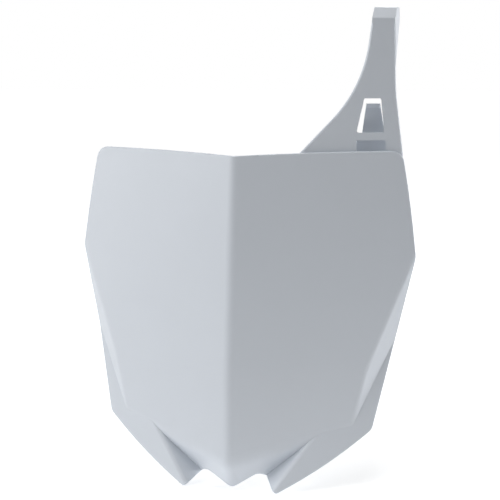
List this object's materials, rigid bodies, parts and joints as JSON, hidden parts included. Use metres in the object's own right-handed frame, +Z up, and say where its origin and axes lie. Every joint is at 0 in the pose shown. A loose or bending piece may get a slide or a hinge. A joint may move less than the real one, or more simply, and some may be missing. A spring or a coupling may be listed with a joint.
{
  "type": "racing number board",
  "caption": "Folded front shield for a racing number on a motorbike, with swept wings at the lower corners and a hooked arm above one top corner.",
  "frame": {"origin": "middle of the bolt hole in the rear lug", "axes": "+X to the right as seen from the front, -Y to the front, +Z up as mounted and along the bolt hole"},
  "size_m": [0.2384, 0.0843, 0.3259],
  "materials": {
    "white_plastic": "satin gloss, smooth moulded"
  },
  "bodies": {
    "root": {"number_board": "white_plastic"}
  },
  "joints": []
}
